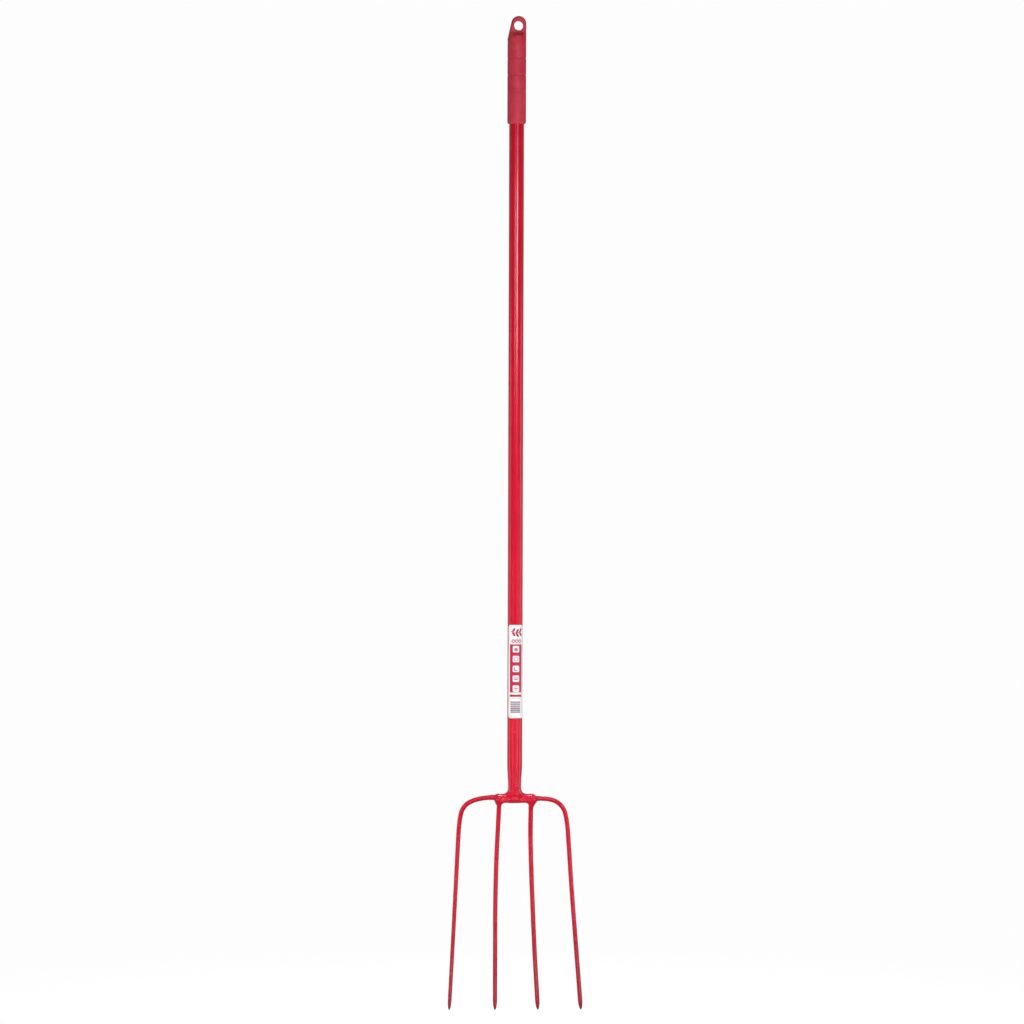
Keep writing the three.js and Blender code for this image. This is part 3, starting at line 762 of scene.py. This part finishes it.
def neck_fillet():
    """The weld round the neck: its skin is the head's own, on level ways out from the shaft's axis,
    from just inside the bar up to the tube, with uneven swells and faint ripples along the bead."""
    columns, rows = 160, 46
    turn = np.arange(columns) * 2 * pi / columns
    height = BAR_TOP - 0.6 + FILLET_RISE * np.linspace(0, 1, rows) ** 1.5
    middle = np.stack([0 * height, 0 * height, height], axis=1)[:, None, :]
    way = np.stack([np.sin(turn), -np.cos(turn), 0 * turn], axis=1)[None]
    radius = np.minimum(way_out(head_field, middle, way, 24.0), 19.0)
    share = np.linspace(0, 1, rows)[:, None]
    uneven = waviness(2 * np.cos(turn), 2 * np.sin(turn) + 2.5 * share, 6, 2)
    ripple = 0.05 * np.sin(turn * 26 + 7 * share + uneven) + 0.11 * uneven
    radius = radius + ripple * np.sin(pi * share) ** 2
    radius = radius * (1 - 0.02 * ease(share, 0.8, 1))
    wall = middle + radius[..., None] * way
    foot = turned([(NECK_RADIUS - 1.0, BAR_TOP - 3.0)], columns)
    skirt = wall[:1] * (1, 1, 0) * 0.8 + (0, 0, BAR_TOP - 3.0)
    inside = turned([(NECK_RADIUS - 1.0, height[-1])], columns)
    closed = np.concatenate([foot, skirt, wall, inside, foot])
    make_piece("neck_fillet", closed.reshape(-1, 3), grid_quads(len(closed), columns),
               WELD_PAINT, "weld_paint", ["neck_weld"])


def tine_frames(rod, steps):
    """Middle line of a tine, and at each step the unit ways along, across the front view and
    through from front to back."""
    route = np.array(rod["route"], float)
    points = np.stack([route[:, 0], -dish_at(route[:, 1]), route[:, 1]], axis=1)
    line, length = smooth_route(points, steps)
    ahead, _ = smooth_route(points, np.minimum(np.asarray(steps) + 0.002, 1))
    behind, _ = smooth_route(points, np.maximum(np.asarray(steps) - 0.002, 0))
    along = ahead - behind
    along /= np.linalg.norm(along, axis=1)[:, None]
    across = np.stack([-along[:, 2], 0 * along[:, 0], along[:, 0]], axis=1)
    across /= np.linalg.norm(across, axis=1)[:, None]
    return line, along, across, np.cross(along, across), length


def tine(name, seed):
    """A forged rod: an ellipse carried along the route, tapering evenly, drawn out to a point over
    the last stretch like half an ellipse, and wavering slightly as drawn bar does."""
    rod = TINES[name]
    length = tine_frames(rod, [0, 1])[4]
    body = np.linspace(-0.006, 1 - TIP_LENGTH / length, 300)
    tip_share = np.sin(np.linspace(0, pi / 2, 28))[1:]
    steps = np.concatenate([body, 1 - (1 - tip_share) * TIP_LENGTH / length])
    line, along, across, through, _ = tine_frames(rod, np.clip(steps, 0, 1))
    line = line + np.minimum(steps, 0)[:, None] * length * along
    to_tip = np.maximum(0, (steps - 1 + TIP_LENGTH / length) * length / TIP_LENGTH)
    closing = np.maximum(TIP_BLUNT, np.sqrt(np.maximum(0, 1 - to_tip ** 2)))
    width = np.interp(steps, (0, 1), rod["width"]) * closing / 2
    depth = np.interp(steps, (0, 1), TINE_DEPTH) * closing / 2
    turn = np.arange(TINE_SIDES) * 2 * pi / TINE_SIDES
    drawn = steps[:, None] * length * 0.09 + np.sin(turn)
    waver = 1 + 0.016 * waviness(2 * np.cos(turn)[None], drawn, seed)
    ring_x = width[:, None] * np.cos(turn) * waver
    ring_y = depth[:, None] * np.sin(turn) * waver
    grid = line[:, None] + ring_x[..., None] * across[:, None] + ring_y[..., None] * through[:, None]
    piece_name = name.replace("tine_", "") + "_tine"
    piece = make_piece(piece_name, *capped(grid), TINE_PAINT, "red_paint", [name])
    from_tip = np.append(np.repeat((1 - steps) * length, len(turn)), (length, 0))
    store = piece.data.attributes.new("from_tip", "FLOAT", "POINT")
    store.data.foreach_set("value", from_tip.astype(np.float32))


def weld_bead(name, tine_name, node, start, reach, swell):
    """A bead hugging a rod from `start` to `start + reach` millimetres along it: it stands off by
    half a sine wave, `swell` at its fullest, with ripples round it, and sinks in at both ends."""
    columns, rows = 72, 26
    rod = TINES[tine_name]
    length = tine_frames(rod, [0, 1])[4]
    turn = np.arange(columns) * 2 * pi / columns
    t = np.linspace(0, 1, rows)[:, None]
    wander = 0.12 * reach * waviness(2 * np.cos(turn), 2 * np.sin(turn), len(name), 2)
    place = start + t * reach + wander
    share = place / length
    line, along, across, through, _ = tine_frames(rod, np.clip(share, 0, 1).ravel())
    line = line + np.minimum(share, 0).reshape(-1, 1) * length * along
    shape = (rows, columns, 3)
    line, across, through = line.reshape(shape), across.reshape(shape), through.reshape(shape)
    off = swell * np.sin(pi * t) ** 0.8 - 0.12 + 0.05 * np.sin(turn * 14 + 4 * t) * np.sin(pi * t)
    half_width = np.interp(share, (0, 1), rod["width"]) / 2 + off
    half_depth = np.interp(share, (0, 1), TINE_DEPTH) / 2 + off
    wall = line + (half_width * np.cos(turn))[..., None] * across
    wall = wall + (half_depth * np.sin(turn))[..., None] * through
    make_piece(name, *capped(wall), WELD_PAINT, "weld_paint", [node])


shaft_tube()
rivet()
grip()
label()
yoke()
neck_fillet()
for seed, tine_name in enumerate(TINES):
    tine(tine_name, 20 + seed)
for bead in BEADS:
    weld_bead(*bead)

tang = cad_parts["tang"]
for place in tang.material_slots:
    place.material = BARE_STEEL


# ---- Floor, light and camera ----

LIGHTS = [
    # name, place, height aimed at, size, power, mirrored in gloss, lights dull surfaces;
    # places are in metres, with heights counted from the tips
    ("left_key", (-0.8, -0.96, 0.44), 0.44, (0.5, 0.6), 11.8, False, True),
    ("right_key", (0.72, -1.02, 0.44), 0.44, (0.5, 0.6), 10.0, False, True),
    ("streak", (0.3, -1.6, 1.28), 1.28, (0.4, 0.33), 5.5, True, False),
    ("second_streak", (-0.6, -1.6, 1.28), 1.28, (0.2, 0.33), 1.8, True, False),
    ("low_sheen", (0, -1.6, 0.18), 0.3, (2.4, 0.3), 0.8, True, False),
    ("grip_front", (0.25, -0.9, 1.44), 1.5, (0.12, 0.2), 1.9, False, True),
    ("overhead", (0.1, -0.9, 2.3), 0.4, (0.9, 0.7), 2.4, True, True),
    ("right_side", (1.5, -0.2, 0.6), 0.6, (0.6, 1.2), 3.2, True, True),
    ("left_side", (-1.6, 0.1, 0.6), 0.6, (0.6, 1.2), 2.8, True, True),
    ("rear_fill", (0.3, 1.8, 0.9), 0.8, (0.9, 1.4), 12, False, True),
]


def floor():
    """A pale disc just under the tips, which fades out towards its rim."""
    rings, sides = 24, 64
    radius = np.linspace(20, 1500, rings)[:, None]
    turn = np.arange(sides) * 2 * pi / sides
    level = np.full((rings, sides), -0.5)
    grid = np.stack([radius * np.cos(turn), radius * np.sin(turn), level], axis=-1)
    mesh = bpy.data.meshes.new("floor")
    faces = grid_quads(rings, sides) + [tuple(range(sides))[::-1]]
    mesh.from_pydata(placed(grid.reshape(-1, 3)).tolist(), [], faces)
    disc = bpy.data.objects.new("floor", mesh)
    bpy.context.scene.collection.objects.link(disc)
    finish, tree, shader = new_finish("pale_floor", Base_Color=(0.06, 0.06, 0.06, 1), Roughness=0.9,
                                      Emission_Color=(1, 1, 1, 1), Emission_Strength=0.95)
    away = add_node(tree, "ShaderNodeVectorMath", {0: object_place(tree), 1: (0, 0, TIP_Z)},
                    operation="DISTANCE").outputs["Value"]
    tree.links.new(spread(tree, away, 1.0, 0.0, 0.25, 1.35), shader.inputs["Alpha"])
    mesh.materials.append(finish)
    disc.visible_glossy = disc.visible_diffuse = False


def area_light(name, place, aim, size, power, shine, fill):
    """A soft rectangle of light at `place`, facing `aim`, both in metres in the frame. Without
    `shine` it isn't mirrored in gloss, and without `fill` it is only mirrored there."""
    lamp = bpy.data.lights.new(name, "AREA")
    lamp.shape = "RECTANGLE"
    lamp.size, lamp.size_y = size
    lamp.energy = power
    holder = bpy.data.objects.new(name, lamp)
    holder.location = place
    holder.rotation_euler = (Vector(aim) - Vector(place)).to_track_quat("-Z", "Y").to_euler()
    holder.visible_camera = False
    holder.visible_glossy = shine
    holder.visible_diffuse = fill
    bpy.context.scene.collection.objects.link(holder)


def studio():
    """White surround to the eye, and for the object a soft grey room, brightest behind it, with the
    lights of the list in it."""
    world = bpy.data.worlds.new("studio")
    world.use_nodes = True
    bpy.context.scene.world = world
    tree = world.node_tree
    tree.nodes.clear()
    way = add_node(tree, "ShaderNodeTexCoord").outputs["Generated"]
    apart = add_node(tree, "ShaderNodeSeparateXYZ", {0: way}).outputs
    room = spread(tree, apart["Y"], 0.10, 0.36, -0.6, 0.9)
    soft = add_node(tree, "ShaderNodeBackground", {"Strength": room}).outputs[0]
    white = add_node(tree, "ShaderNodeBackground", {"Strength": 0.985}).outputs[0]
    for background in (soft, white):
        background.node.inputs["Color"].default_value = (1, 1, 1, 1)
    seen = add_node(tree, "ShaderNodeLightPath").outputs["Is Camera Ray"]
    mixed = add_node(tree, "ShaderNodeMixShader", {0: seen, 1: soft, 2: white}).outputs[0]
    add_node(tree, "ShaderNodeOutputWorld", {"Surface": mixed})
    for name, (x, y, height), aim_height, *rest in LIGHTS:
        area_light(name, (x, y, TIP_Z + height), (AXIS_X, 0, TIP_Z + aim_height), *rest)


def camera():
    """A long lens level with the middle of the fork and a little to its left."""
    lens, sensor = 200.0, 36.0
    frame_width = 1.6736
    distance = frame_width * lens / sensor
    middle_height, aside, lean_angle = 0.8094, 0.00564, 0.00309
    turn = radians(-5)
    right = Vector((cos(turn), sin(turn), 0))
    back = Vector((sin(turn), -cos(turn), 0))
    middle = Vector((AXIS_X, 0, TIP_Z + middle_height)) - right * aside
    lens_data = bpy.data.cameras.new("camera")
    lens_data.lens, lens_data.sensor_width = lens, sensor
    lens_data.clip_end = 100
    holder = bpy.data.objects.new("camera", lens_data)
    lean = Matrix.Rotation(lean_angle, 4, "Z")
    aim = (-back).to_track_quat("-Z", "Y").to_matrix().to_4x4()
    holder.matrix_world = Matrix.Translation(middle + back * distance) @ aim @ lean
    bpy.context.scene.collection.objects.link(holder)
    bpy.context.scene.camera = holder


floor()
studio()
camera()
bpy.context.scene.view_settings.view_transform = "Standard"
